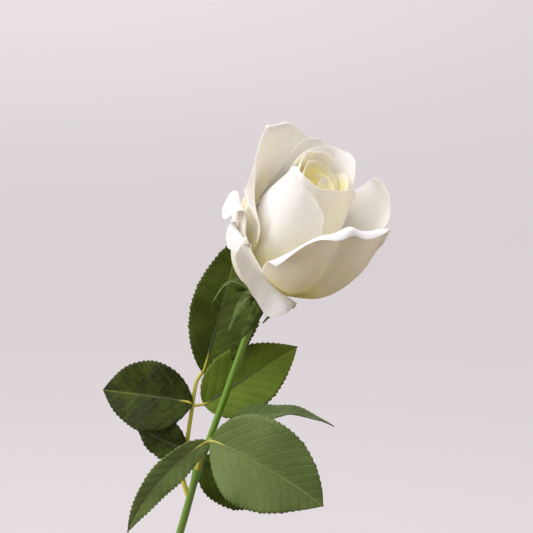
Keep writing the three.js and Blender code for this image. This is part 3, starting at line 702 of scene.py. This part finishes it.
def stage_material():
    s = Shader("stage_paper", srgb(228, 221, 224), 0.9)
    s.set("Specular IOR Level", 0.1)
    place = s.place()
    # painted shade: the paper's colour is lighter on the left and darker towards the bottom, standing in for
    # how the lamps' light falls off across the backdrop
    painted_shade_tone = s.mix(s.ramp(s.split(place)[0], -0.6, 1.4), srgb(250, 249, 253), srgb(212, 206, 211))
    painted_shade_tone = s.mix(s.ramp(s.split(place)[2], 0.0, 1.2, 1.0, 0.0), painted_shade_tone, srgb(160, 154, 157))
    s.set("Base Color", s.mix(s.math("MULTIPLY", s.noise(place, 900, 2.0), 0.04), painted_shade_tone, srgb(205, 196, 200)))
    s.set("Emission Color", (*srgb(231, 228, 234), 1))
    s.set("Emission Strength", STAGE_GLOW)
    return s.material


# ---------------------------------------------------------------- the rose

petal_look = petal_material()
for index, (name, shape) in enumerate(PETALS.items()):
    grid, U, Vv = petal_grid(shape, seed=index * 1.7)
    top_radius = shape["profile"][-1][0]
    deep = 1 - smoothstep(Vv, 0.15, 0.95)
    heart = HEART_CREAM * (1 - smoothstep(top_radius, 8, 18)) * (1 - 0.5 * smoothstep(Vv, 0.9, 1.0))
    lay = np.stack([(U + 1) / 2 + index, Vv], -1)
    # the heart petals get a painted glow, an emission standing in for light that passes through the outer
    # petals
    add_sheet(f"petal_{name}", in_bloom(grid), PETAL_THICKNESS, petal_look, "bloom", lay,
              {"cream": np.clip(deep + heart, 0, 1), "painted_glow": PAINTED_HEART_GLOW * (heart / HEART_CREAM) ** 3,
               "thin": 1 - 0.6 * smoothstep(np.maximum(Vv, np.abs(U)), 0.6, 1.0)})

core_rings = turned_rings(rounded(BLOOM_CORE, 4), 32)
core_vertices, core_faces = ring_mesh(core_rings)
add_object("petal_bed", in_bloom(core_vertices), core_faces, petal_look, "bloom",
           np.zeros((len(core_vertices), 2)), {"cream": np.ones(len(core_vertices))})

sepal_look = sepal_material()
receptacle_rings = turned_rings(rounded(RECEPTACLE, 4), 32)
receptacle_vertices, receptacle_faces = ring_mesh(receptacle_rings)
add_object("receptacle", in_bloom(receptacle_vertices), receptacle_faces, sepal_look, "calyx",
           np.ones((len(receptacle_vertices), 2)))


def sepal_grid(path, width):
    _, at = measured(path)
    shares = np.linspace(0, 1, 30)
    points, ways = at(shares)
    middle = at(np.array(0.5))[0] - BLOOM_FOOT
    facing = unit(middle - unit(BLOOM_AXIS) * (middle @ unit(BLOOM_AXIS)))
    w = np.linspace(-1, 1, 11)
    rows = []
    for share, point, way in zip(shares, points, ways):
        side = unit(np.cross(way, facing))
        outer = np.cross(side, way)
        half = max(width / 2 * min(1, 0.75 + share) * (1 - share) ** 0.7, 0.25)
        rows.append(point + np.outer(w * half, side) - np.outer(0.3 * w * w * half, outer))
    W, S = np.meshgrid(w, shares)
    return np.array(rows), np.stack([W, S], -1)


for name, shape in SEPALS.items():
    grid, lay = sepal_grid(**shape)
    add_sheet(f"sepal_{name}", grid, SEPAL_THICKNESS, sepal_look, "calyx", lay)

stem_look = stalk_material("stem_skin", srgb(96, 118, 40), srgb(98, 140, 30), srgb(130, 152, 54))
stem_path = STEM_PATH + [tuple(BLOOM_FOOT - unit(BLOOM_AXIS) * STEM_TOP_BELOW_FOOT)]


def stem_radius(share, point):
    z = point[2]
    taper = STEM_RADIUS_LOW + (STEM_RADIUS_HIGH - STEM_RADIUS_LOW) * smoothstep(z, 150, 230)
    return taper + STEM_NODE_SWELL * math.exp(-(((z - STEM_NODE_Z) / STEM_NODE_LENGTH) ** 2))


add_rod("stem_rod", stem_path, stem_radius, stem_look, "stem", sides=24, rows=120)

stalk_look = stalk_material("leaf_stalk", srgb(192, 186, 62), srgb(180, 176, 58), srgb(146, 150, 48))
back_look = leaf_material("leaf_back_skin", dark=srgb(26, 34, 3), light=srgb(104, 126, 42),
                          rib=srgb(116, 132, 56), sheen=0.0, shine=0.1)
front_look = leaf_material("leaf_front_skin", dark=srgb(72, 96, 40), light=srgb(122, 138, 80),
                           rib=srgb(146, 158, 102), sheen=0.1, shine=0.25)
back_rib = stalk_material("leaf_back_rib", srgb(186, 180, 60), srgb(40, 52, 12), srgb(56, 66, 20),
                          RIB_STALK_SHARE)
front_rib = stalk_material("leaf_front_rib", srgb(170, 170, 70), srgb(100, 118, 58), srgb(112, 126, 66),
                           RIB_STALK_SHARE)


def stalk_radius(share, _):
    return STALK_RADIUS * (1.25 - 0.4 * share)


def rib_radius(share, _):
    return RIB_RADIUS * (1.2 - 0.95 * share)


for node, stalk, leaflets, look, rib_look in (
        ("leaf_back", BACK_STALK, BACK_LEAFLETS, back_look, back_rib),
        ("leaf_front", FRONT_STALK, FRONT_LEAFLETS, front_look, front_rib)):
    add_rod(f"{node}_stalk", stalk, stalk_radius, stalk_look, node, sides=16, rows=50)
    for name, shape in leaflets.items():
        grid, lay, midrib = leaflet_grid(shape)
        pale = np.full(lay.shape[:2], float({**LEAFLET_DEFAULTS, **shape}["pale"]))
        add_sheet(f"{node}_{name}", grid, BLADE_THICKNESS, look, node, lay, {"pale": pale}, levels=0)
        rib = [shape["stalk"]] + [tuple(q) for q in midrib(np.array([0.03, 0.15, 0.35, 0.6, 0.9]))]
        add_rod(f"{node}_{name}_rib", rib, rib_radius, rib_look, node, sides=10, rows=40)

# ---------------------------------------------------------------- the vase and its water

vase_profile = rounded([(0, 0)] + VASE_OUTSIDE[1:] + VASE_LIP + VASE_INSIDE, 6)
vase_vertices, vase_faces = ring_mesh(turned_rings(vase_profile, 96))
add_object("vase_body", vase_vertices, vase_faces, vase_material(), "vase")

wet = [(r - WATER_GAP, z + (WATER_GAP if z < 20 else 0)) for r, z in VASE_INSIDE[:-1] if z <= WATER_LEVEL]
water_profile = [(0.6, WATER_LEVEL), (wet[0][0] - 0.4, WATER_LEVEL)] + wet + [(0.6, 6 + WATER_GAP)]
water_vertices, water_faces = ring_mesh(turned_rings(water_profile, 96))
add_object("water_body", water_vertices, water_faces, water_material(), "water")

# ---------------------------------------------------------------- stage, light and camera


def turned_stage(profile, sides=128):
    rings = turned_rings([(r / MM, z / MM) for r, z in profile], sides)
    vertices, faces = ring_mesh(rings)
    faces = [f for f in faces if max(f) < len(vertices) - 1]
    mesh = bpy.data.meshes.new("stage")
    mesh.from_pydata((vertices * MM).tolist(), [], faces)
    mesh.polygons.foreach_set("use_smooth", [True] * len(mesh.polygons))
    mesh.materials.append(stage_material())
    obj = bpy.data.objects.new("stage", mesh)
    bpy.context.scene.collection.objects.link(obj)
    return obj


STAGE_FLOOR_RADIUS = 1.5
STAGE_RADIUS = 2.6
STAGE_HEIGHT = 3.2
STAGE_DROP = 0.0002
STAGE_GLOW = 0.46
SKY_STRENGTH = 1.0
SKY_HIGH = srgb(242, 236, 232)
SKY_LOW = srgb(118, 100, 76)
SKY_RAMP = (0.4, 0.8)
corner = [(STAGE_FLOOR_RADIUS + (STAGE_RADIUS - STAGE_FLOOR_RADIUS) * math.sin(a),
           (STAGE_RADIUS - STAGE_FLOOR_RADIUS) * (1 - math.cos(a)) - STAGE_DROP)
          for a in np.linspace(0, math.pi / 2, 24)]
stage = turned_stage([(0.05, -STAGE_DROP), (0.6, -STAGE_DROP)] + corner + [(STAGE_RADIUS, STAGE_HEIGHT)])
stage.visible_shadow = False
stage.visible_diffuse = False


def light_sky():
    """A sky that is pale above and dusky below, by the height of the direction looked in."""
    world = bpy.data.worlds.new("studio")
    bpy.context.scene.world = world
    world.use_nodes = True
    nodes, links = world.node_tree.nodes, world.node_tree.links
    sky = nodes["Background"]
    sky.inputs["Strength"].default_value = SKY_STRENGTH
    around = nodes.new("ShaderNodeTexCoord")
    upwards = nodes.new("ShaderNodeSeparateXYZ")
    height = nodes.new("ShaderNodeMath")
    height.operation = "MULTIPLY_ADD"
    height.inputs[1].default_value = 0.5
    height.inputs[2].default_value = 0.5
    dusk = nodes.new("ShaderNodeValToRGB")
    for element, place, colour in zip(dusk.color_ramp.elements, SKY_RAMP, (SKY_LOW, SKY_HIGH)):
        element.position = place
        element.color = (*colour, 1)
    links.new(around.outputs["Generated"], upwards.inputs[0])
    links.new(upwards.outputs["Z"], height.inputs[0])
    links.new(height.outputs[0], dusk.inputs[0])
    links.new(dusk.outputs[0], sky.inputs["Color"])


light_sky()


def add_light(name, offset, size, power, colour):
    data = bpy.data.lights.new(name, "AREA")
    data.shape = "DISK"
    data.size = size
    data.energy = power
    data.color = colour
    lamp = bpy.data.objects.new(name, data)
    aim = Vector(BLOOM_FOOT * MM)
    lamp.location = aim + Vector(offset)
    lamp.rotation_euler = (aim - lamp.location).to_track_quat("-Z", "Y").to_euler()
    lamp.visible_camera = False
    bpy.context.scene.collection.objects.link(lamp)
    return lamp


add_light("key", (-0.72, -0.32, 0.76), 0.8, 8, (1.0, 0.985, 0.965))
fill = add_light("fill", (-1.35, -0.45, 0.05), 0.5, 6, (1.0, 0.97, 0.95))
add_light("top", (-0.1, -0.5, 1.0), 1.0, 4, (1.0, 0.98, 0.95))

# the fill lamp stands low, so it lights the rose and the vase but not the floor beside it
unlit = bpy.data.collections.new("not_lit_by_fill")
unlit.objects.link(stage)
fill.light_linking.receiver_collection = unlit
unlit.collection_objects[0].light_linking.link_state = "EXCLUDE"

camera_data = bpy.data.cameras.new("camera")
camera_data.lens = CAMERA_LENS
camera_data.sensor_width = CAMERA_SENSOR
camera = bpy.data.objects.new("camera", camera_data)
bpy.context.scene.collection.objects.link(camera)
bpy.context.scene.camera = camera
elevation = math.radians(CAMERA_ELEVATION)
forward = np.array([0, math.cos(elevation), -math.sin(elevation)])
right = np.array([1.0, 0, 0])
up = np.cross(right, forward)
middle_px = PHOTO_SIZE_PX / 2
distance = PHOTO_SIZE_PX / PX_PER_MM * CAMERA_LENS / CAMERA_SENSOR
target = (BLOOM_FOOT - right * (BLOOM_FOOT_PX[0] - middle_px) / PX_PER_MM
          + up * (BLOOM_FOOT_PX[1] - middle_px) / PX_PER_MM)
place = (target - forward * distance) * MM
camera.matrix_world = Matrix([(*row, at) for row, at in zip(np.stack([right, up, -forward], 1), place)]
                             + [(0, 0, 0, 1)])

bpy.context.scene.view_settings.view_transform = "Standard"

bpy.context.view_layer.update()
